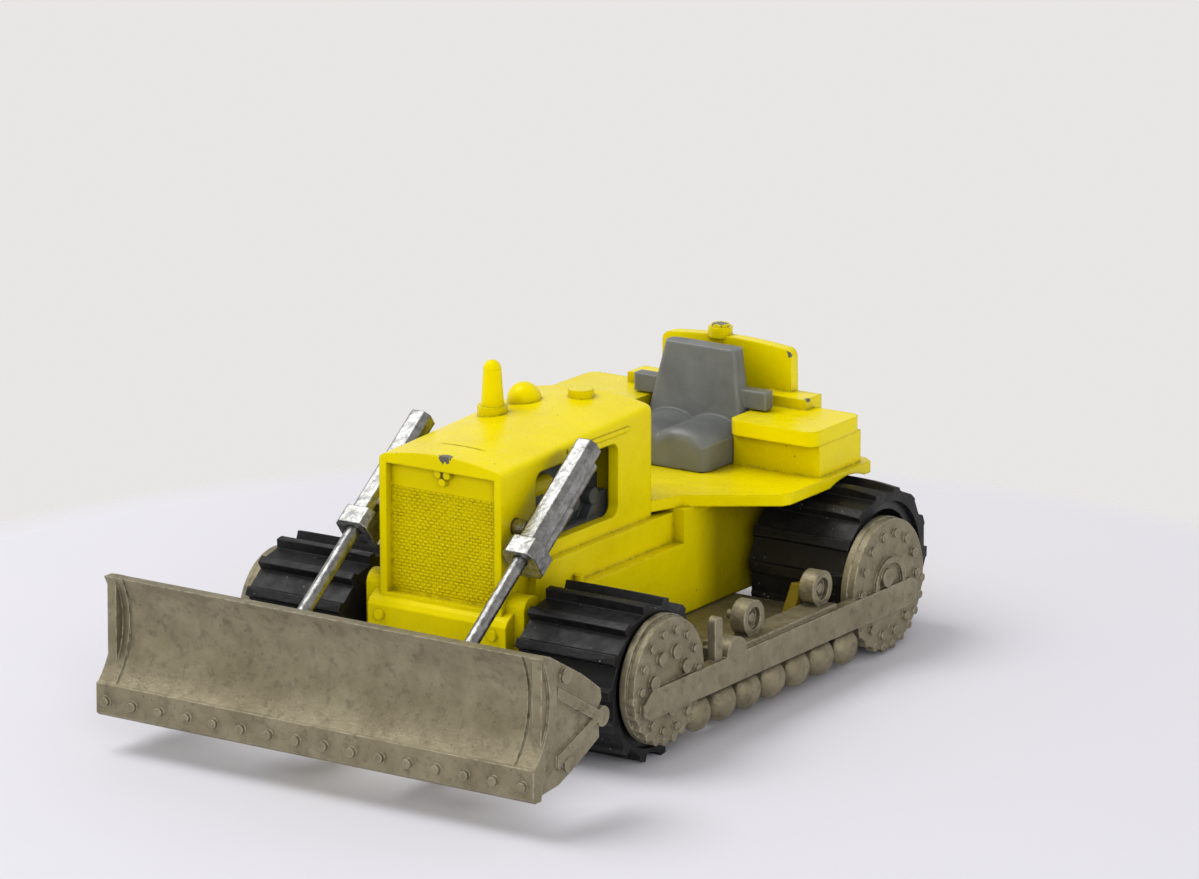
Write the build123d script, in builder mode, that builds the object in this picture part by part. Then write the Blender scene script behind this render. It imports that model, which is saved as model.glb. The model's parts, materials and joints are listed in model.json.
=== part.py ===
from build123d import *
import os
from math import asin, atan2, cos, degrees, hypot, pi, sin

# Die-cast toy bulldozer on four ribbed rubber sleeves, in millimetres.
# +Z is up, the blade faces -Y, and +X is the vehicle's left-hand side.
# The pieces are drawn square to the body. The rear axle is higher in the body than
# the front one, so the finished toy is tipped nose-up to stand on all four sleeves,
# with its origin on the ground under the middle of the bounding box.

# Overall
BOLT_TIP_Y = -39.2
SIDES = {"left": 1, "right": -1}
WALL = 1.2
RUNNING_GAP = 0.06

# Wheels: a rubber sleeve stretched over a hub, two hubs to an axle
CLEATS = 14
CLEAT_PITCH = 2 * pi / CLEATS
TYRE_R = {"front": 8.2, "rear": 8.6}
TYRE_CROWN = {"front": 0.1, "rear": 0.4}
BAR_DROP = 0.12
BAR_WIDTH = 0.24
PLANK_DROP = 0.6
ROOT_DROP = 1.0
TYRE_X = (10.6, 22.1)
HUB_X = (10.9, 21.5)
HUB_R = 6.8
HUB_DISH_R = 5.9
AXLE_R = 0.9
AXLE_HALF = 21.0
AXLES = {"front": (-12.1, 8.65), "rear": (31.1, 10.0)}

# Stance: how the body's frame lies over the ground
AXLE_RISE = AXLES["rear"][1] - AXLES["front"][1]
WHEELBASE = AXLES["rear"][0] - AXLES["front"][0]
BAR_ANGLE = CLEAT_PITCH * (0.5 - BAR_WIDTH)
AXLE_HEIGHT = {end: (radius - BAR_DROP) * cos(BAR_ANGLE) for end, radius in TYRE_R.items()}
HEIGHT_STEP = AXLE_HEIGHT["rear"] - AXLE_HEIGHT["front"]
NOSE_UP = atan2(AXLE_RISE, WHEELBASE) - asin(HEIGHT_STEP / hypot(AXLE_RISE, WHEELBASE))
GROUND_Z = AXLE_HEIGHT["front"] + AXLES["front"][0] * sin(NOSE_UP) - AXLES["front"][1] * cos(NOSE_UP)
CENTRING_Y = -0.415
STANCE = Location((0, CENTRING_Y, GROUND_Z), (-degrees(NOSE_UP), 0, 0))

# Hood and radiator
HOOD_X = 7.3
HOOD_Y = (-16.9, 10.4)
HOOD_TOP = (29.0, 30.3)
HOOD_CROWN = 0.85
GRILLE_X = 6.45
GRILLE_Z = (14.2, 27.4)
GRILLE_DEPTH = 0.9
WINDOW_Y = (-10.9, 3.7)
WINDOW_Z = (19.4, 27.0)

# Lower body, floor plate and tanks
TUB_X = 9.5
TUB_Y = (-16.2, 12.5)
SKIRT_Z = 7.3
SILL_TOP = 14.8
FLOOR_Z = (18.3, 19.5)
ARCH_GAP = 0.35
FENDER_X = 17.4
TANK_X = (6.2, 16.6)
TANK_Y = (26.8, 34.9)
TANK_LID_Z = (22.9, 24.5)
REAR_TANK_X = 7.9
REAR_TANK_Y = (35.0, 36.4)
REAR_TANK_TOP = 30.5

# Blade and its linkage
BLADE_HALF = 26.0
BLADE_FRONT = -38.75
BLADE_Z = (3.7, 17.5)
BLADE_BOLTS = 16
BLADE_PIVOT = (-8.0, 3.8)
BLADE_PIN_R = 0.7
ARM_X = (5.4, 7.0)
CYLINDER_X = 10.0
TRUNNION = (-14.44, 22.42)
ROD_END = (-33.0, 8.5)
ROD_R = 0.72
ROD_PIN_R = 0.6
ROD_EYE_PLAY = 0.3
BARREL_LENGTH = 11.0

# Track frames
FRAME_X = (23.1, 24.3)
DISC_X = (22.3, 23.8)
DISC_BACK_R = 6.9
DISC_CENTRE = {"front": (-12.15, 8.9), "rear": (28.9, 8.9)}
DISC_FACE_R = {"front": 6.2, "rear": 6.8}
DISC_TOOTH_R = 0.42
BEAM_Z = (5.9, 8.8)
ROAD_ROLLERS = 7
ROLLER_Y = (-6.5, 21.0)
ROLLER_Z = 4.1
ROLLER_R = 1.95
CARRIER_Y = (4.85, 17.7)
CARRIER_Z = 10.9
CARRIER_R = 1.85

# Base plate and fasteners
PLATE_Z = (6.5, 7.5)
PAD_Z = 6.2
WING_Z = (6.3, 7.2)
BODY_RIVET_Y = (-7.2, 20.0)
BODY_RIVET_R = 0.8
RIVET_HEAD = 0.5
FRAME_RIVET_Y = (5.5, 11.5)
FRAME_RIVET_X = 19.2
FRAME_RIVET_R = 0.6

os.makedirs("parts", exist_ok=True)


def save(piece, label):
    """Set a finished piece on the ground with the whole toy and write it as its own STEP file."""
    standing = STANCE * piece.part
    standing.label = label
    export_step(standing, f"parts/{label}.step")


def block(x, y, z, mode=Mode.ADD):
    """Box between two values on each axis."""
    with Locations((sum(x) / 2, sum(y) / 2, sum(z) / 2)):
        Box(abs(x[1] - x[0]), y[1] - y[0], z[1] - z[0], mode=mode)


def side_blocks(x, y, z, mode=Mode.ADD):
    """The same box on the left and on the right."""
    for side in SIDES.values():
        block((side * x[0], side * x[1]), y, z, mode)


def rod_x(x, y, z, radius, mode=Mode.ADD):
    """Round bar along X."""
    with Locations(Location(((x[0] + x[1]) / 2, y, z), (0, 90, 0))):
        Cylinder(radius, abs(x[1] - x[0]), mode=mode)


def rod_y(x, y, z, radius, mode=Mode.ADD):
    """Round bar along Y."""
    with Locations(Location((x, (y[0] + y[1]) / 2, z), (90, 0, 0))):
        Cylinder(radius, y[1] - y[0], mode=mode)


def rod_z(x, y, z, radius, mode=Mode.ADD):
    """Round bar along Z."""
    with Locations((x, y, (z[0] + z[1]) / 2)):
        Cylinder(radius, z[1] - z[0], mode=mode)


def prism_x(points, x, mode=Mode.ADD):
    """Straight-sided outline in the YZ plane, pulled along X."""
    with BuildSketch(Plane.YZ.offset(min(x))) as outline:
        with BuildLine():
            Polyline(*points, close=True)
        make_face()
    extrude(outline.sketch, amount=abs(x[1] - x[0]), mode=mode)


def prism_z(points, z):
    """Straight-sided outline in plan, pulled along Z."""
    with BuildSketch(Plane.XY.offset(z[0])) as outline:
        with BuildLine():
            Polyline(*points, close=True)
        make_face()
    extrude(outline.sketch, amount=z[1] - z[0])


def rounded_slab(x, y, z, corner):
    """Flat slab with rounded plan corners."""
    with BuildSketch(Plane.XY.offset(z[0])) as outline:
        with Locations((sum(x) / 2, sum(y) / 2)):
            RectangleRounded(abs(x[1] - x[0]), y[1] - y[0], corner)
    extrude(outline.sketch, amount=z[1] - z[0])


# ---------------------------------------------------------------- body casting

def hood_section(y, top):
    """Front view of the hood at one station: upright sides and a crowned top."""
    with BuildSketch(Plane.XZ.offset(-y)) as section:
        with BuildLine():
            Polyline((HOOD_X, top - HOOD_CROWN), (HOOD_X, 12), (-HOOD_X, 12), (-HOOD_X, top - HOOD_CROWN))
            ThreePointArc((-HOOD_X, top - HOOD_CROWN), (0, top), (HOOD_X, top - HOOD_CROWN))
        make_face()
    return section.sketch


def engine_window(side):
    """Opening in one hood side, with rounded corners."""
    with BuildSketch(Plane.YZ.offset(side * HOOD_X - 2)) as window:
        with Locations((sum(WINDOW_Y) / 2, sum(WINDOW_Z) / 2)):
            RectangleRounded(WINDOW_Y[1] - WINDOW_Y[0], WINDOW_Z[1] - WINDOW_Z[0], 1.1)
    extrude(window.sketch, amount=4, mode=Mode.SUBTRACT)


FENDER_PLAN = [
    (0, 8.4), (6.6, 8.4), (8.6, 13.4), (FENDER_X - 0.4, 19.2), (FENDER_X, 20.2),
    (FENDER_X, 35.6), (FENDER_X - 1.2, 36.6), (9.2, 36.6), (9.2, 38.6), (0, 38.6),
]

# Side view of the opening in each sill, from the ground up
SILL_ARCH = [(-12.6, 0), (-12.6, 11.6), (-9.1, 13.9), (-7.3, 14.2), (-4.2, 13.9), (-1.1, 13.1),
             (4.4, 11.4), (6.4, 10.3), (7.7, 9.1), (8.6, 7.0), (8.6, 0)]

with BuildPart() as body_casting:
    # Hood, sloping up to the rear
    loft([hood_section(HOOD_Y[0], HOOD_TOP[0]), hood_section(HOOD_Y[1], HOOD_TOP[1])], ruled=True)
    rear_edges = body_casting.edges().filter_by(
        lambda e: abs(e.center().X) > 7 and e.center().Y > 9 and e.center().Z < 27
    )
    fillet(rear_edges, 1.0)
    long_edges = body_casting.edges().filter_by(lambda e: abs(e.center().X) > 6.9 and 28 < e.center().Z < 29.3)
    fillet(long_edges, 0.7)

    # Lower tub: front part to the sill, cab part up to the floor
    block((-TUB_X, TUB_X), TUB_Y, (8.2, 13.2))
    block((-TUB_X, TUB_X), (-8.0, TUB_Y[1]), (SKIRT_Z, SILL_TOP))
    block((-TUB_X, TUB_X), (TUB_Y[1], 38.6), (SKIRT_Z, FLOOR_Z[0]))
    prism_x([(-12.6, 13), (-8.0, SILL_TOP), (-8.0, 13)], (-TUB_X, TUB_X))
    # Ledge along the foot of the hood, with a bevelled top
    for side in SIDES.values():
        prism_x(
            [(-12.2, SILL_TOP - 2), (-12.2, 17.0), (-11.4, 17.9), (12.6, 17.9), (12.6, SILL_TOP - 2)],
            (side * (HOOD_X - 0.5), side * (HOOD_X + 0.9)),
        )
    # Ears beside the radiator
    side_blocks((HOOD_X - 0.5, TUB_X), (TUB_Y[0], -13.4), (10, 14.6))
    for side in SIDES.values():
        rod_x((side * (HOOD_X - 0.5), side * TUB_X), (TUB_Y[0] - 13.4) / 2, 14.4, 1.4)

    # Lower front panel with its sloping ledge
    prism_x(
        [(-15.5, 8.2), (-17.6, 8.2), (-17.7, 12.9), (-17.3, 13.5), (-16.0, 14.3), (-15.5, 14.3)],
        (-8.3, 8.3),
    )

    # Floor plate and fenders
    right_plan = [(-x, y) for x, y in reversed(FENDER_PLAN[1:-1])]
    prism_z(FENDER_PLAN + right_plan, FLOOR_Z)

    # Side tanks under overhanging rounded lids
    for side in SIDES.values():
        inner, outer = side * TANK_X[0], side * TANK_X[1]
        block((inner, outer), TANK_Y, (FLOOR_Z[1] - 0.1, TANK_LID_Z[0]))
        rounded_slab((inner, side * (TANK_X[1] + 0.15)), (TANK_Y[0] - 1.2, TANK_Y[1]), TANK_LID_Z, 1.2)
        block((side * 5.2, side * 11.0), (33.0, 36.2), (FLOOR_Z[1] - 0.1, 25.6))

    # Narrow rear tank with a crowned top and a filler cap
    with BuildSketch(Plane.XZ.offset(-REAR_TANK_Y[0])) as rear_tank:
        with BuildLine():
            Polyline((REAR_TANK_X, REAR_TANK_TOP - 0.5), (REAR_TANK_X + 0.3, FLOOR_Z[0]),
                     (-REAR_TANK_X - 0.3, FLOOR_Z[0]), (-REAR_TANK_X, REAR_TANK_TOP - 0.5))
            ThreePointArc((-REAR_TANK_X, REAR_TANK_TOP - 0.5), (0, REAR_TANK_TOP), (REAR_TANK_X, REAR_TANK_TOP - 0.5))
        make_face()
        fillet(rear_tank.vertices().group_by(Axis.Y)[-1], 0.9)
    extrude(rear_tank.sketch, amount=-(REAR_TANK_Y[1] - REAR_TANK_Y[0]))
    rod_z(-1.2, 35.75, (REAR_TANK_TOP - 0.3, REAR_TANK_TOP + 0.8), 1.3)
    rod_z(-1.2, 35.75, (REAR_TANK_TOP + 0.8, REAR_TANK_TOP + 1.1), 0.95)

    # Exhaust stack, air-cleaner dome and the small cover behind it
    with Locations((-4.3, -1.6, 29.2)):
        Cone(1.25, 0.92, 4.9, align=(Align.CENTER, Align.CENTER, Align.MIN))
    with Locations((-4.3, -1.6, 34.1)):
        Sphere(0.9)
    rod_z(-4.3, -1.6, (29.0, 30.3), 1.55)
    with Locations((-4.0, 3.6, 29.9)):
        Sphere(1.75)
    rod_z(0.6, 7.0, (29.8, 30.9), 1.3)

    # Small bolts: front panel, ledges and the ears
    for side in SIDES.values():
        rod_y(side * 6.8, (-18.1, -17.0), 12.0, 0.55)
        rod_x((side * TUB_X, side * (TUB_X + 0.25)), -14.8, 12.4, 0.5)
        for y in (-11.0, -5.4):
            rod_z(side * 8.7, y, (13.0, 15.6 if y > -8 else 14.2), 0.45)
        # Plain rib above the window
        block((side * (HOOD_X - 0.3), side * (HOOD_X + 0.18)), (-5.4, 5.6), (27.75, 28.25))

    # Radiator recess, with a plain three-lobed boss at its top
    prism_x(
        [(HOOD_Y[0] - 1, GRILLE_Z[0]), (HOOD_Y[0] + GRILLE_DEPTH, GRILLE_Z[0]),
         (HOOD_Y[0] + GRILLE_DEPTH, GRILLE_Z[1]), (HOOD_Y[0] - 1, GRILLE_Z[1])],
        (-GRILLE_X, GRILLE_X), Mode.SUBTRACT,
    )
    for x, z in ((0, 26.2), (-0.55, 27.0), (0.55, 27.0)):
        rod_y(x, (HOOD_Y[0] + 0.3, HOOD_Y[0] + 1.2), z, 0.42)

    # Seam between the radiator shell and the hood
    block((-6.6, 6.6), (-13.1, -12.9), (29.05, 31), Mode.SUBTRACT)

    # Hollow underneath, in steps, and the hollow of the hood
    block((-TUB_X + WALL, TUB_X - WALL), (-15.0, TUB_Y[1] + WALL), (0, SILL_TOP - WALL - 1), Mode.SUBTRACT)
    block((-TUB_X + WALL, TUB_X - WALL), (TUB_Y[1] + WALL - 0.1, 37.4), (0, FLOOR_Z[0] - 0.6), Mode.SUBTRACT)
    block((-HOOD_X + WALL, HOOD_X - WALL), (-15.0, HOOD_Y[1] - 1.5), (12, 27.6), Mode.SUBTRACT)
    for side in SIDES.values():
        engine_window(side)
        # Round pipe end seen through the front of the window
        rod_y(side * 5.6, (-12.2, -7.0), 24.9, 1.0)
        with Locations((side * 5.6, -7.0, 24.9)):
            Sphere(1.0)
        block((side * 4.6, side * 6.6), (-15.4, -11.8), (23.9, 25.9))
        rod_x((side * 5.5, side * 9), *TRUNNION, 0.8 + RUNNING_GAP, Mode.SUBTRACT)

    # Cross walls that carry the engine, and the rear rivet post
    block((-TUB_X + 0.5, TUB_X - 0.5), (-9.4, -5.0), (PLATE_Z[1], 13.4))
    block((-TUB_X + 0.5, TUB_X - 0.5), (1.0, 4.0), (PLATE_Z[1], 13.4))
    rod_z(0, BODY_RIVET_Y[1], (PLATE_Z[1], FLOOR_Z[0]), 1.9)
    for y in BODY_RIVET_Y:
        rod_z(0, y, (0, 12), BODY_RIVET_R, Mode.SUBTRACT)

    # Slots that let the axles pass the side walls
    for y, z in AXLES.values():
        block((-TUB_X - 1, TUB_X + 1), (y - AXLE_R - 0.3, y + AXLE_R + 0.3), (0, z), Mode.SUBTRACT)
        rod_x((-TUB_X - 1, TUB_X + 1), y, z, AXLE_R + 0.3, Mode.SUBTRACT)
    # Arches over the wheels: low in the sills in front, and under the fenders behind
    for side in SIDES.values():
        prism_x(SILL_ARCH, (side * (TUB_X - WALL - 0.1), side * (TUB_X + 0.4)), Mode.SUBTRACT)
        rod_x((side * (TUB_X + 0.2), side * (FENDER_X + 1)), *AXLES["rear"], TYRE_R["rear"] + ARCH_GAP, Mode.SUBTRACT)
save(body_casting, "body_casting")


# ---------------------------------------------------------------- base casting

with BuildPart() as base_casting:
    block((-8.1, 8.1), (-13.9, 37.2), PLATE_Z)
    block((-7.0, 7.0), (-4.0, 36.0), (PAD_Z, PLATE_Z[1]))
    side_blocks((7.8, 20.9), (-1.2, 22.3), WING_Z)
    for y, z in AXLES.values():
        side_blocks((5.4, 8.1), (max(y - 2.2, -13.9), y + 2.2), (PLATE_Z[0], z + 2.0))
        rod_x((-9, 9), y, z, AXLE_R + RUNNING_GAP, Mode.SUBTRACT)
    # Lugs that hold the blade's hinge pin
    for side in SIDES.values():
        lug_x = (side * 3.4, side * 5.1)
        rod_x(lug_x, *BLADE_PIVOT, 1.5)
        block(lug_x, (BLADE_PIVOT[0] - 1.5, BLADE_PIVOT[0] + 1.5), (BLADE_PIVOT[1], PLATE_Z[0] + 0.1))
    rod_x((-6, 6), *BLADE_PIVOT, BLADE_PIN_R, Mode.SUBTRACT)
    # Rivet holes, sunk for the heads under the plate
    for y in BODY_RIVET_Y:
        rod_z(0, y, (0, 9), BODY_RIVET_R, Mode.SUBTRACT)
        rod_z(0, y, (0, PLATE_Z[0] + RIVET_HEAD), 1.3, Mode.SUBTRACT)
    for side in SIDES.values():
        for y in FRAME_RIVET_Y:
            rod_z(side * FRAME_RIVET_X, y, (0, 9), FRAME_RIVET_R, Mode.SUBTRACT)
save(base_casting, "base_casting")

with BuildPart() as body_rivets:
    for y in BODY_RIVET_Y:
        rod_z(0, y, (PLATE_Z[0], 11.5), BODY_RIVET_R)
        rod_z(0, y, (PLATE_Z[0], PLATE_Z[0] + RIVET_HEAD), 1.3)
save(body_rivets, "body_rivets")

# Painted wedges that stand on the wings, beside the rear carrier rollers
with BuildPart() as roller_brackets:
    for side in SIDES.values():
        prism_x([(14.4, WING_Z[1]), (17.0, 11.2), (19.0, 10.9), (19.7, WING_Z[1])], (side * 19.5, side * 20.8))
save(roller_brackets, "roller_brackets")


# ---------------------------------------------------------------- engine and seat

with BuildPart() as engine_block:
    block((-4.4, 4.4), (-10.6, 4.2), (13.4, 23.4))
    rod_y(0, (-10.6, 4.2), 23.4, 3.2)
    # Cylinder barrels, valve cover, manifold and sump on both sides
    for i in range(4):
        rod_z(0, -8.4 + 3.4 * i, (23, 26.9), 1.3)
        for side in SIDES.values():
            rod_x((side * 4.0, side * 5.7), -8.4 + 3.4 * i, 21.6, 0.85)
    for side in SIDES.values():
        rod_y(side * 5.0, (-9.6, 3.4), 18.6, 1.0)
        prism_x([(-2.0, 16.0), (4.2, 16.0), (4.2, 21.8), (2.4, 21.8)], (side * 4.2, side * 5.6))
save(engine_block, "engine_block")

with BuildPart() as seat:
    # Cushion, with a shallow valley between its two lobes
    with BuildSketch(Plane.XZ.offset(-21.6)) as cushion:
        with BuildLine():
            Polyline((6.1, 22.3), (6.1, 19.6), (-6.1, 19.6), (-6.1, 22.3))
            ThreePointArc((-6.1, 22.3), (-3.2, 23.7), (0, 23.0))
            ThreePointArc((0, 23.0), (3.2, 23.7), (6.1, 22.3))
        make_face()
    extrude(cushion.sketch, amount=-9.4)
    front_edges = seat.edges().filter_by(lambda e: e.center().Y < 21.7 and e.center().Z > 20)
    fillet(front_edges, 1.1)
    # Tapered backrest, leaning slightly, with a recessed panel
    with BuildSketch(Plane.XY.offset(22.0)) as back_foot:
        with Locations((0, 29.9)):
            RectangleRounded(12.3, 2.6, 0.9)
    with BuildSketch(Plane.XY.offset(30.6)) as back_head:
        with Locations((0, 30.8)):
            RectangleRounded(8.9, 1.9, 0.8)
    loft([back_foot.sketch, back_head.sketch], ruled=True)
    # Wings of the backrest that lie just above the tank lids
    block((-8.1, 8.1), (29.9, 31.3), (TANK_LID_Z[1] + 0.2, 26.6))
save(seat, "seat")


# ---------------------------------------------------------------- wheels

def tread_outline(axle, tip_r):
    """Saw-tooth tread: each plank rises towards the front and ends in a raised bar."""
    profile = ((-0.95, tip_r - ROOT_DROP), (-0.30, tip_r - PLANK_DROP), (-BAR_WIDTH, tip_r - BAR_DROP), (0, tip_r))
    points = []
    for i in range(CLEATS):
        tip = 3 * pi / 2 + NOSE_UP + CLEAT_PITCH * (i + 0.5)
        for step, radius in profile:
            angle = tip + step * CLEAT_PITCH
            points.append((axle[0] + radius * cos(angle), axle[1] + radius * sin(angle)))
    return points


for axle_name, axle_at in AXLES.items():
    axle_line = Axis((0, *axle_at), (1, 0, 0))
    axle_plane = Plane(origin=(0, *axle_at), x_dir=(1, 0, 0), z_dir=(0, 0, 1))
    tip_r = TYRE_R[axle_name]
    edge_r = tip_r - TYRE_CROWN[axle_name]

    with BuildPart() as axle:
        rod_x((-AXLE_HALF, AXLE_HALF), *axle_at, AXLE_R)
    save(axle, f"{axle_name}_axle")

    for side_name, side in SIDES.items():
        tyre_x = [side * x for x in TYRE_X]
        with BuildPart() as tyre:
            prism_x(tread_outline(axle_at, tip_r), tyre_x)
            # Barrel-shaped envelope crowns the cleats
            with BuildSketch(axle_plane) as barrel_profile:
                with BuildLine():
                    Polyline((tyre_x[0], edge_r), (tyre_x[0], 0), (tyre_x[1], 0), (tyre_x[1], edge_r))
                    ThreePointArc((tyre_x[1], edge_r), (sum(tyre_x) / 2, tip_r), (tyre_x[0], edge_r))
                make_face()
            revolve(barrel_profile.sketch, axle_line, mode=Mode.INTERSECT)
            rod_x(tyre_x, *axle_at, HUB_R, Mode.SUBTRACT)
        save(tyre, f"{side_name}_{axle_name}_tyre")

        with BuildPart() as hub:
            rod_x([side * x for x in HUB_X], *axle_at, HUB_R)
            # Dished outer end around a central boss
            rod_x((side * (HUB_X[1] - 3), side * HUB_X[1]), *axle_at, HUB_DISH_R, Mode.SUBTRACT)
            rod_x((side * (HUB_X[1] - 3.1), side * (HUB_X[1] - 0.2)), *axle_at, 2.2)
            rod_x([side * x for x in HUB_X], *axle_at, AXLE_R, Mode.SUBTRACT)
        save(hub, f"{side_name}_{axle_name}_hub")


# ---------------------------------------------------------------- track frames

def ring_of_bolts(side, centre, ring_r, count, bolt_r, height, start=0.0):
    """Round bolt heads on a disc's outer face."""
    face = side * DISC_X[1]
    for i in range(count):
        angle = start + 2 * pi * i / count
        bolt_at = (centre[0] + ring_r * cos(angle), centre[1] + ring_r * sin(angle))
        rod_x((face - side * 0.2, face + side * height), *bolt_at, bolt_r)


def domed_roller(x_in, x_out, y):
    """Road roller with a domed outer end."""
    rim_x = x_out - (x_out - x_in) / abs(x_out - x_in) * 1.2
    with BuildSketch(Plane(origin=(0, y, ROLLER_Z), x_dir=(1, 0, 0), z_dir=(0, 0, 1))) as half:
        with BuildLine():
            Polyline((x_out, 0), (x_in, 0), (x_in, ROLLER_R), (rim_x, ROLLER_R))
            ThreePointArc((rim_x, ROLLER_R), (rim_x + (x_out - rim_x) * 0.72, ROLLER_R * 0.68), (x_out, 0))
        make_face()
    revolve(half.sketch, Axis((0, y, ROLLER_Z), (1, 0, 0)))


for side_name, side in SIDES.items():
    inner, outer = side * FRAME_X[0], side * FRAME_X[1]
    disc_in, disc_out = side * DISC_X[0], side * DISC_X[1]
    with BuildPart() as track_frame:
        # Idler and sprocket covers, just outside the sleeves' open ends
        for end, centre in DISC_CENTRE.items():
            rod_x((disc_in, side * 23.0), *centre, min(DISC_BACK_R, DISC_FACE_R[end] + 0.3))
            rod_x((side * 22.9, disc_out), *centre, DISC_FACE_R[end])
        ring_of_bolts(side, DISC_CENTRE["front"], 5.0, 14, 0.42, 0.3)
        ring_of_bolts(side, DISC_CENTRE["front"], 2.9, 7, 0.72, 0.4, 0.3)
        ring_of_bolts(side, DISC_CENTRE["rear"], 5.3, 14, 0.48, 0.3)
        ring_of_bolts(side, DISC_CENTRE["rear"], 1.5, 1, 0.95, 0.7, 2.4)
        rod_x((disc_out, disc_out + side * 0.35), *DISC_CENTRE["rear"], 2.9)
        rod_x((disc_out, disc_out + side * 0.35), *DISC_CENTRE["rear"], 2.3, Mode.SUBTRACT)
        # Worn teeth along the lower edges
        for end, centre in DISC_CENTRE.items():
            tooth_ring_r = DISC_FACE_R[end] - 0.1
            for i in range(12):
                angle = pi + pi * (i + 0.5) / 12
                tooth_at = (centre[0] + tooth_ring_r * cos(angle), centre[1] + tooth_ring_r * sin(angle))
                rod_x((side * 22.9, side * (DISC_X[1] + 0.1)), *tooth_at, DISC_TOOTH_R)

        # Beam: a thin web past the wheels, thick between them, with a bevelled top
        prism_x([(-17.2, 6.4), (-17.2, 7.6), (-15.5, BEAM_Z[1]), (32.6, BEAM_Z[1]), (33.6, 8.2), (33.6, 6.4),
                 (32.0, BEAM_Z[0]), (-16.0, BEAM_Z[0])], (inner, outer))
        block((side * 21.0, side * 23.9), (-1.9, 18.6), (BEAM_Z[0], BEAM_Z[1] + 0.5))

        # Road rollers, five of them full width and the end two clear of the wheels
        for i in range(ROAD_ROLLERS):
            y = ROLLER_Y[0] + (ROLLER_Y[1] - ROLLER_Y[0]) * i / (ROAD_ROLLERS - 1)
            roller_in = inner if i in (0, ROAD_ROLLERS - 1) else side * 21.2
            domed_roller(roller_in, side * 24.5, y)

        # Post and hump on the beam
        post_y = -3.5
        block((inner, side * 24.0), (post_y - 0.65, post_y + 0.65), (BEAM_Z[1] - 0.5, 12.6))
        rod_x((inner, side * 24.0), post_y, 12.6, 0.65)
        rod_x((side * 22.9, outer), -0.6, BEAM_Z[1], 1.75)

        # Carrier rollers with hollow faces, on lugs
        for y in CARRIER_Y:
            rod_x((side * 21.1, side * 22.8), y, CARRIER_Z, CARRIER_R)
            rod_x((side * 22.2, side * 22.9), y, CARRIER_Z, 1.15, Mode.SUBTRACT)
            rod_x((side * 22.1, side * 22.5), y, CARRIER_Z, 0.5)
            block((side * 21.1, side * 22.4), (y - 0.9, y + 0.9), (BEAM_Z[1], CARRIER_Z - 0.9))
        rod_x((side * 19.8, side * 21.3), CARRIER_Y[0], CARRIER_Z, 0.5)

        # Inner flange that lies on the base's wing
        block((side * 17.6, side * 21.5), (3.5, 13.5), (WING_Z[1], WING_Z[1] + 0.9))
        for y in FRAME_RIVET_Y:
            rod_z(side * FRAME_RIVET_X, y, (WING_Z[1] - 1, WING_Z[1] + 2), FRAME_RIVET_R, Mode.SUBTRACT)
    save(track_frame, f"{side_name}_track_frame")

with BuildPart() as track_frame_rivets:
    for side in SIDES.values():
        for y in FRAME_RIVET_Y:
            x = side * FRAME_RIVET_X
            rod_z(x, y, (WING_Z[0] - 0.4, WING_Z[1] + 1.3), FRAME_RIVET_R)
            rod_z(x, y, (WING_Z[0] - 0.4, WING_Z[0]), 1.0)
            rod_z(x, y, (WING_Z[1] + 0.9, WING_Z[1] + 1.3), 1.0)
save(track_frame_rivets, "track_frame_rivets")


# ---------------------------------------------------------------- blade

BAND_TOP = 7.0
FACE_FOOT = (BLADE_FRONT + 0.35, BAND_TOP + 0.15)
FACE_MID = (-36.05, 12.2)
FACE_TOP = (-37.2, BLADE_Z[1])
BACK_TOP = (-35.95, BLADE_Z[1])
BACK_MID = (-34.75, 12.2)
BACK_FOOT = (-36.95, 6.6)

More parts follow.
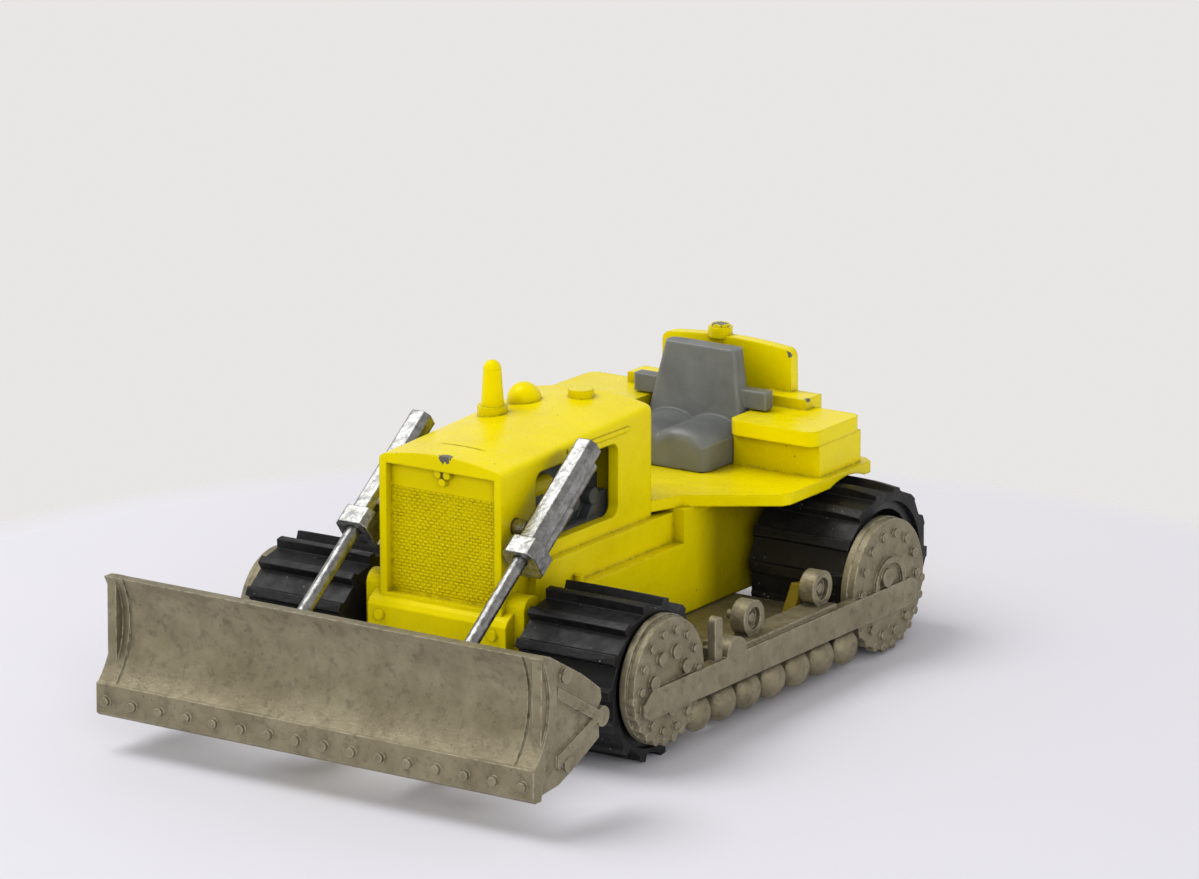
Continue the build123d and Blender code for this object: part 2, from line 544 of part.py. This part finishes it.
with BuildPart() as blade:
    # Curved mouldboard with a stepped cutting edge
    with BuildSketch(Plane.YZ.offset(-BLADE_HALF)) as mouldboard:
        with BuildLine():
            Polyline(FACE_FOOT, (BLADE_FRONT, BAND_TOP), (BLADE_FRONT - 0.05, BLADE_Z[0] + 0.3),
                     (BLADE_FRONT + 0.25, BLADE_Z[0]), (BLADE_FRONT + 1.3, BLADE_Z[0]), BACK_FOOT)
            ThreePointArc(BACK_FOOT, BACK_MID, BACK_TOP)
            Line(BACK_TOP, FACE_TOP)
            ThreePointArc(FACE_TOP, FACE_MID, FACE_FOOT)
        make_face()
    extrude(mouldboard.sketch, amount=2 * BLADE_HALF)

    # Groove line that marks off each end strip
    with BuildSketch(Plane.YZ.offset(-0.15)) as groove:
        with BuildLine():
            ThreePointArc(FACE_TOP, FACE_MID, FACE_FOOT)
            Line(FACE_FOOT, (FACE_FOOT[0] + 0.2, FACE_FOOT[1]))
            ThreePointArc((FACE_FOOT[0] + 0.2, FACE_FOOT[1]), (FACE_MID[0] + 0.2, FACE_MID[1]),
                          (FACE_TOP[0] + 0.2, FACE_TOP[1]))
            Line((FACE_TOP[0] + 0.2, FACE_TOP[1]), FACE_TOP)
        make_face()
    for side in SIDES.values():
        with Locations((side * (BLADE_HALF - 2.3), 0, 0)):
            add(extrude(groove.sketch, amount=0.3, mode=Mode.PRIVATE), mode=Mode.SUBTRACT)

    # Bolt heads along the cutting edge
    for i in range(BLADE_BOLTS):
        x = (BLADE_HALF - 1.2) * (2 * i / (BLADE_BOLTS - 1) - 1)
        with Locations(Location((x, BOLT_TIP_Y, 5.3), (-90, 0, 0))):
            Cone(0.45, 0.62, 1.0, align=(Align.CENTER, Align.CENTER, Align.MIN))

    for side in SIDES.values():
        # End bracket: a plate running back to a knob, with a raised V and two bolts
        plate_x = (side * (BLADE_HALF - 1.3), side * (BLADE_HALF - 0.25))
        prism_x([(-37.0, 17.3), (-35.6, 17.4), (-32.2, 15.5), (-30.4, 14.5), (-28.6, 13.3), (-27.1, 12.2),
                 (-26.9, 11.2), (-27.5, 10.3), (-27.3, 7.4), (-29.2, 6.5), (-31.8, 5.3), (-34.2, 4.4),
                 (-37.2, 4.1)], plate_x)
        vee_x = (side * (BLADE_HALF - 0.4), side * BLADE_HALF)
        prism_x([(-34.6, 14.2), (-27.6, 10.2), (-27.6, 9.0), (-34.6, 13.0)], vee_x)
        prism_x([(-34.6, 6.0), (-27.6, 9.2), (-27.6, 10.0), (-34.6, 7.4)], vee_x)
        for y, z, r in ((-33.2, 15.0, 0.75), (-32.8, 6.1, 0.75), (-26.9, 9.4, 1.0)):
            rod_x((side * (BLADE_HALF - 1.3), side * (BLADE_HALF + 0.1 if r < 1 else BLADE_HALF)), y, z, r)

        # Push arm, level under the wheels' axle and rising to the mouldboard
        pivot_y, pivot_z = BLADE_PIVOT
        arm_x = (side * ARM_X[0], side * ARM_X[1])
        prism_x([(pivot_y, pivot_z - 0.8), (-18.5, pivot_z - 0.8), (-36.8, 4.8), (-36.0, 8.4),
                 (-19.0, pivot_z + 0.9), (pivot_y, pivot_z + 0.8)], arm_x)
        rod_x(arm_x, pivot_y, pivot_z, 1.4)
        rod_x(arm_x, pivot_y, pivot_z, BLADE_PIN_R + RUNNING_GAP, Mode.SUBTRACT)

        # Pair of ears that takes the cylinder's rod end
        for offset in (-1.35, 1.35):
            ear_x = (side * CYLINDER_X + offset - 0.45, side * CYLINDER_X + offset + 0.45)
            prism_x([(-36.0, 6.4), (-33.0, 7.3), (-33.0, 9.7), (-35.6, 11.4)], ear_x)
            rod_x(ear_x, *ROD_END, 1.2)
            rod_x(ear_x, *ROD_END, ROD_PIN_R, Mode.SUBTRACT)
save(blade, "blade")

with BuildPart() as blade_hinge_pin:
    rod_x((-7.6, 7.6), *BLADE_PIVOT, BLADE_PIN_R)
save(blade_hinge_pin, "blade_hinge_pin")

with BuildPart() as rod_end_pins:
    for side in SIDES.values():
        rod_x((side * (CYLINDER_X - 1.9), side * (CYLINDER_X + 1.9)), *ROD_END, ROD_PIN_R)
save(rod_end_pins, "rod_end_pins")


# ---------------------------------------------------------------- lift cylinders

REACH = hypot(TRUNNION[0] - ROD_END[0], TRUNNION[1] - ROD_END[1])
UP_THE_BARREL = (0, (TRUNNION[0] - ROD_END[0]) / REACH, (TRUNNION[1] - ROD_END[1]) / REACH)


def bar(plane, start, end, size, centre=0.0, bevel=0.0, mode=Mode.ADD):
    """Rectangular bar along a cylinder's axis; centre is how far it hangs below the axis."""
    with BuildSketch(plane.offset(start)) as section:
        with Locations((0, centre)):
            Rectangle(*size)
        if bevel:
            chamfer(section.vertices(), bevel)
    extrude(section.sketch, amount=end - start, mode=mode)


def round_bar(plane, start, end, radius, centre=0.0, mode=Mode.ADD):
    """Round bar along a cylinder's axis."""
    with BuildSketch(plane.offset(start)) as section:
        with Locations((0, centre)):
            Circle(radius)
    extrude(section.sketch, amount=end - start, mode=mode)


for side_name, side in SIDES.items():
    axis_plane = Plane(origin=(side * CYLINDER_X, *TRUNNION), x_dir=(1, 0, 0), z_dir=UP_THE_BARREL)

    with BuildPart() as barrel:
        bar(axis_plane, -2.2, BARREL_LENGTH, (2.5, 2.3), bevel=0.55)
        # Square collar at the rod's end, and the oil pipe slung below in two sizes
        bar(axis_plane, -3.9, -1.8, (3.7, 3.9), centre=0.6, bevel=0.6)
        round_bar(axis_plane, -2.2, 4.6, 0.8, centre=2.0)
        round_bar(axis_plane, 4.4, BARREL_LENGTH - 0.8, 0.62, centre=1.95)
        bar(axis_plane, -2.2, BARREL_LENGTH - 0.8, (0.7, 1.4), centre=1.2)
        rod_x((side * (CYLINDER_X - 1.25), side * 6.3), *TRUNNION, 0.8)
        round_bar(axis_plane, -5, BARREL_LENGTH - 0.7, ROD_R + RUNNING_GAP, mode=Mode.SUBTRACT)
    save(barrel, f"{side_name}_cylinder_barrel")

    with BuildPart() as rod:
        round_bar(axis_plane, 1.0 - REACH, 5.2, ROD_R)
        eye_x = (side * CYLINDER_X - 0.75, side * CYLINDER_X + 0.75)
        rod_x(eye_x, *ROD_END, 1.5)
        rod_x(eye_x, *ROD_END, ROD_PIN_R + ROD_EYE_PLAY, Mode.SUBTRACT)
    save(rod, f"{side_name}_cylinder_rod")
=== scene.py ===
import json
import math
import random

import bmesh
import bpy
from mathutils import Matrix, Vector


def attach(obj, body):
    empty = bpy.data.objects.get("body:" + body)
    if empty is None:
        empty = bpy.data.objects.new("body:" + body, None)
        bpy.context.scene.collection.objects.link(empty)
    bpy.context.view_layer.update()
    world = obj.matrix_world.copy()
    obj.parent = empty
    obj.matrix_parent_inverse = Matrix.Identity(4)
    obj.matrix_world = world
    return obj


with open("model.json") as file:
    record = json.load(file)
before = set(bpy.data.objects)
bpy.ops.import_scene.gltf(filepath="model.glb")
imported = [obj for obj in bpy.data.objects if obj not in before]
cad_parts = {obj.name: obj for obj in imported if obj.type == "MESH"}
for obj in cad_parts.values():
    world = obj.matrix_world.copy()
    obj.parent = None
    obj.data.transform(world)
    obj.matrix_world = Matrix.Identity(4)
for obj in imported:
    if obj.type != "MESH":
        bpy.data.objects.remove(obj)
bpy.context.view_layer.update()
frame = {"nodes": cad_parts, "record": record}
nodes = frame["nodes"]
MM = 0.001
random.seed(7)

# The body's square frame, in millimetres, stands nose-up (in radians) over the ground
NOSE_UP = 0.022048
BODY_SHIFT = Vector((0, -0.415, -0.8896)) * MM
STANCE = Matrix.Translation(BODY_SHIFT) @ Matrix.Rotation(-NOSE_UP, 4, "X")


def on_body(x, y, z):
    """Point given in the body's frame, in millimetres."""
    return STANCE @ (Vector((x, y, z)) * MM)


# ------------------------------------------------------------------ node helper

class Graph:
    """Builds one material's node tree; a value that is a socket is linked, any other is set."""

    def __init__(self, name):
        self.material = bpy.data.materials.new(name)
        self.material.use_nodes = True
        self.tree = self.material.node_tree
        self.tree.nodes.clear()
        self.position = self.add("ShaderNodeTexCoord").outputs["Object"]
        self.normal = self.add("ShaderNodeNewGeometry").outputs["Normal"]

    def add(self, kind, inputs=None, **settings):
        node = self.tree.nodes.new(kind)
        for key, value in settings.items():
            setattr(node, key, value)
        for key, value in (inputs or {}).items():
            if isinstance(value, bpy.types.NodeSocket):
                self.tree.links.new(value, node.inputs[key])
            else:
                node.inputs[key].default_value = value
        return node

    def noise(self, size_mm, detail=3.0, roughness=0.55, offset=0.0):
        """Noise whose features are about size_mm across."""
        place = self.position
        if offset:
            moved = {0: place, 1: (offset, offset * 0.7, -offset)}
            place = self.add("ShaderNodeVectorMath", moved).outputs[0]
        made = self.add("ShaderNodeTexNoise", {
            "Vector": place, "Scale": 1 / (size_mm * MM), "Detail": detail, "Roughness": roughness})
        return made.outputs["Fac"]

    def cells(self, size_mm):
        """Distance to the nearest of scattered points, about size_mm apart."""
        made = self.add("ShaderNodeTexVoronoi", {"Vector": self.position, "Scale": 1 / (size_mm * MM)})
        return made.outputs["Distance"]

    def math(self, operation, a, b=0.0, clamp=False):
        """One arithmetic step on values or sockets."""
        return self.add("ShaderNodeMath", {0: a, 1: b}, operation=operation, use_clamp=clamp).outputs[0]

    def remap(self, value, low, high, to_low=0.0, to_high=1.0):
        """Value stretched from one range to another and held inside it."""
        made = self.add("ShaderNodeMapRange", {
            "Value": value, "From Min": low, "From Max": high, "To Min": to_low, "To Max": to_high})
        return made.outputs["Result"]

    def mix(self, factor, a, b):
        """Colour between a and b."""
        made = self.add("ShaderNodeMix", data_type="RGBA")
        for key, value in ((0, factor), (6, a), (7, b)):
            if isinstance(value, bpy.types.NodeSocket):
                self.tree.links.new(value, made.inputs[key])
            else:
                made.inputs[key].default_value = value if key == 0 else (*value, 1.0)
        return made.outputs[2]

    def over(self, colour, other, mask, weight):
        """Lay another colour over this one where the mask is bright."""
        return self.mix(self.math("MULTIPLY", mask, weight, clamp=True), colour, other)

    def edges(self, radius_mm):
        """1 along convex and concave edges, 0 on flats."""
        both = {0: self.rounded(radius_mm), 1: self.normal}
        same = self.add("ShaderNodeVectorMath", both, operation="DOT_PRODUCT").outputs["Value"]
        return self.remap(self.math("SUBTRACT", 1.0, same), 0.004, 0.12)

    def corners(self, distance_mm, low, high):
        """1 deep in corners and grooves, 0 in the open."""
        made = self.add("ShaderNodeAmbientOcclusion", {"Distance": distance_mm * MM}, samples=6)
        return self.remap(made.outputs["AO"], high, low)

    def spot(self, centre_mm, radius_mm):
        """1 inside a ragged patch around a point."""
        both = {0: self.position, 1: tuple(on_body(*centre_mm))}
        away = self.add("ShaderNodeVectorMath", both, operation="DISTANCE").outputs["Value"]
        wobble = self.math("MULTIPLY", self.math("SUBTRACT", self.noise(0.5, 3.0), 0.5), 1.0 * MM)
        return self.math("LESS_THAN", self.math("ADD", away, wobble), radius_mm * MM)

    def rounded(self, radius_mm):
        """Normal that rounds every edge a little."""
        return self.add("ShaderNodeBevel", {"Radius": radius_mm * MM}, samples=6).outputs["Normal"]

    def bump(self, height, depth_mm, normal=None):
        """Normal that follows a height, over another normal where one is given."""
        inputs = {"Height": height, "Distance": depth_mm * MM, "Strength": 1.0}
        if normal is not None:
            inputs["Normal"] = normal
        return self.add("ShaderNodeBump", inputs).outputs["Normal"]

    def finish(self, inputs):
        """Join a principled shader to the output."""
        shader = self.add("ShaderNodeBsdfPrincipled", inputs)
        output = self.add("ShaderNodeOutputMaterial")
        self.tree.links.new(shader.outputs[0], output.inputs["Surface"])
        return self.material


# ------------------------------------------------------------------ materials

YELLOW = (0.94, 0.79, 0.0)
YELLOW_DEEP = (0.87, 0.72, 0.0)
GRIME_AND_SHADE = (0.16, 0.125, 0.02)
BARE = (0.085, 0.08, 0.075)
ZINC = (0.225, 0.192, 0.118)
ZINC_LIGHT = (0.315, 0.277, 0.180)
ZINC_DARK = (0.085, 0.074, 0.046)
# Colours of painted shade and painted shadow laid over the yellow paint
OVERHANG_PAINTED_SHADE = (0.15, 0.115, 0.0)
WALL_PAINTED_SHADOW = (0.15, 0.12, 0.0)
WEDGE_PAINTED_SHADE = (0.11, 0.072, 0.01)

# Where the painted shadow and painted shade lie, in millimetres
WALL_X = 9.9
WALL_TOP = 16.2
WALL_START = (14.5, 18.5)
WALL_END = 37.5
WEDGE_CENTRE = (20.15, 17.0, 9.3)
WEDGE_REACH = 3.6


def yellow_enamel(name, chips):
    g = Graph(name)
    colour = g.mix(g.remap(g.noise(6.0, 2.0), 0.35, 0.7), YELLOW, YELLOW_DEEP)
    # Dirt and painted shade darken the fine corners, in patches
    grime_and_painted_shade = g.math("MULTIPLY", g.corners(0.5, 0.45, 0.8), g.remap(g.noise(0.8, 4.0), 0.42, 0.62))
    colour = g.over(colour, GRIME_AND_SHADE, grime_and_painted_shade, 0.75)
    # Painted shade where the paint lies deep under an overhang
    colour = g.over(colour, OVERHANG_PAINTED_SHADE, g.corners(6.0, 0.30, 0.72), 0.7)
    # Painted shadow of the fenders on the walls under them, which are darker than the rest
    place = g.add("ShaderNodeSeparateXYZ", {0: g.position}).outputs
    wall = g.math("LESS_THAN", g.math("ABSOLUTE", place["X"]), WALL_X * MM)
    low = g.math("LESS_THAN", place["Z"], WALL_TOP * MM)
    ahead = g.math("LESS_THAN", place["Y"], WALL_END * MM)
    behind = g.remap(place["Y"], WALL_START[0] * MM, WALL_START[1] * MM)
    painted_wall_shadow = g.math("MULTIPLY", g.math("MULTIPLY", wall, low), g.math("MULTIPLY", ahead, behind))
    colour = g.over(colour, WALL_PAINTED_SHADOW, painted_wall_shadow, 0.72)
    specks = g.math("LESS_THAN", g.cells(1.7), 0.055)
    rare = g.math("GREATER_THAN", g.noise(3.5, 2.0, offset=0.02), 0.60)
    colour = g.over(colour, GRIME_AND_SHADE, specks, rare)
    # Thin paint and small chips along the edges
    loose = g.math("GREATER_THAN", g.noise(0.45, 4.0, offset=0.05), 0.67)
    chipped = g.math("MULTIPLY", g.edges(0.16), loose)
    # Painted shade makes the wedges by the rear carrier rollers darker than the body
    for side in (-1, 1):
        painted_wedge_shade = g.spot((side * WEDGE_CENTRE[0], *WEDGE_CENTRE[1:]), WEDGE_REACH)
        colour = g.over(colour, WEDGE_PAINTED_SHADE, painted_wedge_shade, 0.95)
    for centre, radius in chips:
        chipped = g.math("MAXIMUM", chipped, g.spot(centre, radius))
    bare = g.mix(g.noise(0.3, 3.0), BARE, (0.17, 0.165, 0.16))
    colour = g.mix(chipped, colour, bare)
    # Orange peel, sags and small paint nibs over the rounded edges
    sag = g.bump(g.noise(2.6, 2.0, 0.4), 0.10, normal=g.rounded(0.28))
    ripple = g.bump(g.noise(0.9, 3.0, 0.5), 0.030, normal=sag)
    nibs = g.remap(g.cells(0.8), 0.16, 0.02)
    few = g.remap(g.noise(2.4, 3.0, offset=0.07), 0.54, 0.66)
    nibbed = g.bump(g.math("MULTIPLY", nibs, few), 0.05, normal=ripple)
    normal = g.bump(chipped, -0.06, normal=nibbed)
    return g.finish({
        "Base Color": colour, "Roughness": g.remap(g.noise(2.0, 3.0), 0.3, 0.7, 0.22, 0.36),
        "Specular IOR Level": 0.32, "Specular Tint": (1.0, 0.85, 0.05, 1.0), "Normal": normal})


def bare_zinc(name):
    g = Graph(name)
    cloud = g.noise(4.0, 5.0, 0.65)
    colour = g.mix(g.remap(cloud, 0.36, 0.66), ZINC, ZINC_LIGHT)
    blotch = g.remap(g.noise(1.2, 5.0, 0.65, offset=0.03), 0.52, 0.70)
    colour = g.over(colour, ZINC_DARK, blotch, 0.5)
    # Painted shade darkens the corners and grooves
    colour = g.over(colour, ZINC_DARK, g.corners(0.9, 0.35, 0.9), 0.75)
    rub = g.math("MULTIPLY", g.edges(0.22), g.remap(g.noise(0.7, 4.0), 0.36, 0.58))
    colour = g.over(colour, (0.56, 0.52, 0.40), rub, 0.75)
    pits = g.math("LESS_THAN", g.cells(1.1), 0.09)
    colour = g.over(colour, ZINC_DARK, pits, 0.5)
    swell = g.bump(g.noise(2.2, 3.0), 0.16, normal=g.rounded(0.22))
    skin = g.bump(g.noise(0.32, 5.0, 0.7), 0.075, normal=swell)
    normal = g.bump(pits, -0.06, normal=skin)
    return g.finish({
        "Base Color": colour, "Metallic": 0.6,
        "Roughness": g.remap(g.noise(0.9, 4.0), 0.3, 0.7, 0.36, 0.58), "Normal": normal})


def chrome_plating(name):
    g = Graph(name)
    worn = g.math("MULTIPLY", g.edges(0.14), g.remap(g.noise(0.5, 3.0), 0.45, 0.6))
    mottle = g.remap(g.noise(1.0, 5.0, 0.7), 0.38, 0.62)
    colour = g.mix(mottle, (0.38, 0.38, 0.372), (0.20, 0.20, 0.196))
    # Painted shade darkens the corners
    colour = g.over(colour, (0.08, 0.072, 0.04), g.corners(0.45, 0.35, 0.85), 0.8)
    colour = g.over(colour, (0.40, 0.38, 0.22), worn, 0.4)
    scratch = g.bump(g.noise(0.45, 4.0, 0.6), 0.035, normal=g.rounded(0.2))
    normal = g.bump(g.noise(1.8, 2.0), 0.16, normal=scratch)
    return g.finish({
        "Base Color": colour, "Metallic": 1.0,
        "Roughness": g.remap(g.noise(0.6, 3.0), 0.35, 0.7, 0.26, 0.46), "Normal": normal})


def grey_plastic(name):
    g = Graph(name)
    colour = g.mix(g.remap(g.noise(3.0, 3.0), 0.35, 0.7), (0.19, 0.20, 0.195), (0.145, 0.152, 0.15))
    # Painted shade darkens the corners
    colour = g.over(colour, (0.075, 0.08, 0.078), g.corners(1.2, 0.3, 0.8), 0.5)
    # Painted highlight along the edges
    colour = g.over(colour, (0.40, 0.41, 0.40), g.edges(0.4), 0.35)
    swell = g.bump(g.noise(3.0, 1.0), 0.22, normal=g.rounded(0.4))
    normal = g.bump(g.noise(0.9, 3.0), 0.05, normal=swell)
    return g.finish({
        "Base Color": colour, "Roughness": g.remap(g.noise(1.2, 2.0), 0.3, 0.7, 0.32, 0.48),
        "Subsurface Weight": 0.4, "Subsurface Radius": (1.0, 1.0, 1.0), "Subsurface Scale": 1.0 * MM,
        "Transmission Weight": 0.12, "Normal": normal})


def moulded_rubber(name):
    g = Graph(name)
    dust = g.math("LESS_THAN", g.cells(0.75), 0.13)
    where = g.remap(g.noise(2.2, 3.0, offset=0.04), 0.50, 0.66)
    dusty = g.math("MULTIPLY", dust, where)
    film = g.math("MULTIPLY", g.remap(g.noise(3.0, 5.0, 0.7), 0.38, 0.70), 0.35)
    colour = g.mix(film, (0.0065, 0.0065, 0.007), (0.028, 0.026, 0.027))
    # Painted highlight along the edges
    colour = g.over(colour, (0.065, 0.065, 0.068), g.edges(0.14), 0.4)
    colour = g.over(colour, (0.30, 0.29, 0.26), dusty, 0.55)
    swell = g.bump(g.noise(1.6, 3.0), 0.12, normal=g.rounded(0.16))
    normal = g.bump(g.noise(0.35, 4.0), 0.022, normal=swell)
    return g.finish({
        "Base Color": colour, "Roughness": g.remap(g.noise(1.5, 4.0), 0.3, 0.7, 0.36, 0.60),
        "Specular IOR Level": 0.25, "Normal": normal})


def plain_plastic(name, light, dark, low, high):
    g = Graph(name)
    colour = g.mix(g.remap(g.noise(1.6, 3.0), 0.35, 0.7), light, dark)
    # Painted highlight along the edges
    colour = g.over(colour, tuple(2.2 * c + 0.01 for c in light), g.edges(0.15), 0.4)
    normal = g.bump(g.noise(0.5, 3.0), 0.03, normal=g.rounded(0.25))
    return g.finish({
        "Base Color": colour,
        "Roughness": g.remap(g.noise(1.1, 3.0), 0.3, 0.7, low, high), "Normal": normal})


def drawn_steel(name):
    g = Graph(name)
    colour = g.mix(g.noise(0.8, 4.0), (0.42, 0.40, 0.37), (0.25, 0.24, 0.21))
    normal = g.bump(g.noise(0.2, 3.0), 0.01)
    return g.finish({
        "Base Color": colour, "Metallic": 1.0,
        "Roughness": g.remap(g.noise(0.8, 3.0), 0.3, 0.7, 0.28, 0.45), "Normal": normal})


# Large chips: centre in the body's frame and radius, in millimetres
CHIPS = [((0.6, -16.8, 29.0), 0.7), ((-1.2, 35.7, 31.3), 0.8), ((8.0, 35.0, 29.7), 0.5),
         ((10.9, 33.6, 25.5), 0.35)]
enamel = yellow_enamel("yellow_enamel", CHIPS)
materials = {
    "yellow_paint": enamel,
    "bare_zinc": bare_zinc("bare_zinc"),
    "chrome_plating": chrome_plating("chrome_plating"),
    "seat_plastic": grey_plastic("seat_plastic"),
    "black_rubber": moulded_rubber("black_rubber"),
    "hub_plastic": plain_plastic("hub_plastic", (0.012, 0.012, 0.013), (0.006, 0.006, 0.007), 0.35, 0.5),
    "dark_plastic": plain_plastic("dark_plastic", (0.05, 0.056, 0.06), (0.028, 0.03, 0.032), 0.3, 0.5),
    "steel": drawn_steel("steel"),
}

SOFT_EDGE = 0.12 * MM
SHARP_ANGLE = math.radians(35)

for row in frame["record"]["subparts"]:
    piece = nodes[row["node"]]
    piece.data.materials.clear()
    piece.data.materials.append(materials[row["material_slot"]])
    soft = piece.modifiers.new("softened_edges", "BEVEL")
    soft.width = SOFT_EDGE
    soft.segments = 2
    soft.limit_method = "ANGLE"
    soft.angle_limit = SHARP_ANGLE
    soft.harden_normals = False


# ------------------------------------------------------------------ radiator core

def boxes(name, rows, material, body):
    """One mesh of small boxes, each given by its two corners in the body's frame."""
    mesh = bmesh.new()
    for low, high in rows:
        middle = [(a + b) / 2 for a, b in zip(low, high)]
        size = [b - a for a, b in zip(low, high)]
        place = Matrix.Translation(middle) @ Matrix.Diagonal((*size, 1.0))
        bmesh.ops.create_cube(mesh, size=1.0, matrix=STANCE @ Matrix.Scale(MM, 4) @ place)
    data = bpy.data.meshes.new(name)
    mesh.to_mesh(data)
    mesh.free()
    piece = bpy.data.objects.new(name, data)
    bpy.context.scene.collection.objects.link(piece)
    data.materials.append(material)
    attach(piece, body)
    return piece


CORE_X, CORE_Z = 6.25, (14.5, 25.1)
CORE_FACE = -16.0
CORE_SUNK = 0.05
ROW_PITCH, ROW_GAP = 0.34, 0.07
BRICK_PITCH, BRICK_GAP = 0.66, 0.08
bricks = []
for row in range(int((CORE_Z[1] - CORE_Z[0]) / ROW_PITCH)):
    low_z = CORE_Z[0] + row * ROW_PITCH
    x = -CORE_X + (BRICK_PITCH / 2 if row % 2 else 0.0)
    while x < CORE_X - 0.4:
        width = min(BRICK_PITCH - BRICK_GAP + random.uniform(-0.04, 0.04), CORE_X - x)
        proud = random.uniform(0.02, 0.05)
        high_z = low_z + ROW_PITCH - ROW_GAP
        bricks.append(((x, CORE_FACE - proud, low_z), (x + width, CORE_FACE + CORE_SUNK, high_z)))
        x += BRICK_PITCH
core = boxes("radiator_core", bricks, enamel, "chassis")


# ------------------------------------------------------------------ floor, light and camera

AZIMUTH = math.radians(33.79)
ELEVATION = math.radians(14.69)
TARGET = Vector((5.32, 3.30, 27.06)) * MM
DISTANCE = 650.3 * MM

level = math.cos(ELEVATION)
back = Vector((math.sin(AZIMUTH) * level, -math.cos(AZIMUTH) * level, math.sin(ELEVATION)))
lens = bpy.data.cameras.new("camera")
lens.lens = 195.2
lens.sensor_width = 36.0
lens.clip_start = 0.01
camera = bpy.data.objects.new("camera", lens)
turned = (-back).to_track_quat("-Z", "Y").to_matrix().to_4x4()
aim = Matrix.Translation(TARGET + back * DISTANCE) @ turned
camera.matrix_world = STANCE @ aim
bpy.context.scene.collection.objects.link(camera)
bpy.context.scene.camera = camera


FLOOR_CENTRE = (0.010, -0.010, 0)
FLOOR_RADIUS = 0.102
FLOOR_FADE = (93, 100)


def floor_material():
    """Pale matt floor that fades into the backdrop."""
    g = Graph("pale_floor")
    away = g.add("ShaderNodeVectorMath", {0: g.position}, operation="LENGTH").outputs["Value"]
    colour = g.mix(g.noise(30.0, 2.0), (0.80, 0.795, 0.865), (0.815, 0.81, 0.875))
    shader = g.add("ShaderNodeBsdfPrincipled", {"Base Color": colour, "Roughness": 0.7})
    clear = g.add("ShaderNodeBsdfTransparent")
    fade = g.remap(away, FLOOR_FADE[0] * MM, FLOOR_FADE[1] * MM)
    both = g.add("ShaderNodeMixShader", {0: fade})
    g.tree.links.new(shader.outputs[0], both.inputs[1])
    g.tree.links.new(clear.outputs[0], both.inputs[2])
    output = g.add("ShaderNodeOutputMaterial")
    g.tree.links.new(both.outputs[0], output.inputs["Surface"])
    return g.material


bpy.ops.mesh.primitive_circle_add(
    vertices=128, radius=FLOOR_RADIUS, fill_type="NGON", location=FLOOR_CENTRE)
floor = bpy.context.object
floor.name = "floor"
floor.data.materials.append(floor_material())


def area_light(name, place, size, power):
    """Round soft lamp aimed at the middle of the toy."""
    lamp = bpy.data.lights.new(name, "AREA")
    lamp.shape = "DISK"
    lamp.size = size
    lamp.energy = power
    holder = bpy.data.objects.new(name, lamp)
    holder.location = place
    holder.rotation_euler = (Vector((0, 0, 0.01)) - Vector(place)).to_track_quat("-Z", "Y").to_euler()
    bpy.context.scene.collection.objects.link(holder)


area_light("key", (-0.28, -0.10, 0.55), 0.42, 1.95)
area_light("front", (0.38, -0.45, 0.25), 0.30, 0.95)

# Backdrop and sky: brightest from the horizon down, darker overhead
HORIZON_STRENGTH = 0.81
ZENITH_STRENGTH = 0.42
world = bpy.data.worlds.new("studio")
bpy.context.scene.world = world
world.use_nodes = True
tree = world.node_tree
sky = tree.nodes["Background"]
direction = tree.nodes.new("ShaderNodeTexCoord")
upward = tree.nodes.new("ShaderNodeVectorMath")
upward.operation = "DOT_PRODUCT"
upward.inputs[1].default_value = (0, 0, 1)
shade = tree.nodes.new("ShaderNodeMapRange")
shade.inputs["From Min"].default_value = 0.0
shade.inputs["From Max"].default_value = 1.0
shade.inputs["To Min"].default_value = HORIZON_STRENGTH
shade.inputs["To Max"].default_value = ZENITH_STRENGTH
tree.links.new(direction.outputs["Generated"], upward.inputs[0])
tree.links.new(upward.outputs["Value"], shade.inputs["Value"])
tree.links.new(shade.outputs["Result"], sky.inputs["Strength"])
sky.inputs["Color"].default_value = (1.0, 0.98, 0.96, 1)
bpy.context.scene.view_settings.view_transform = "Standard"
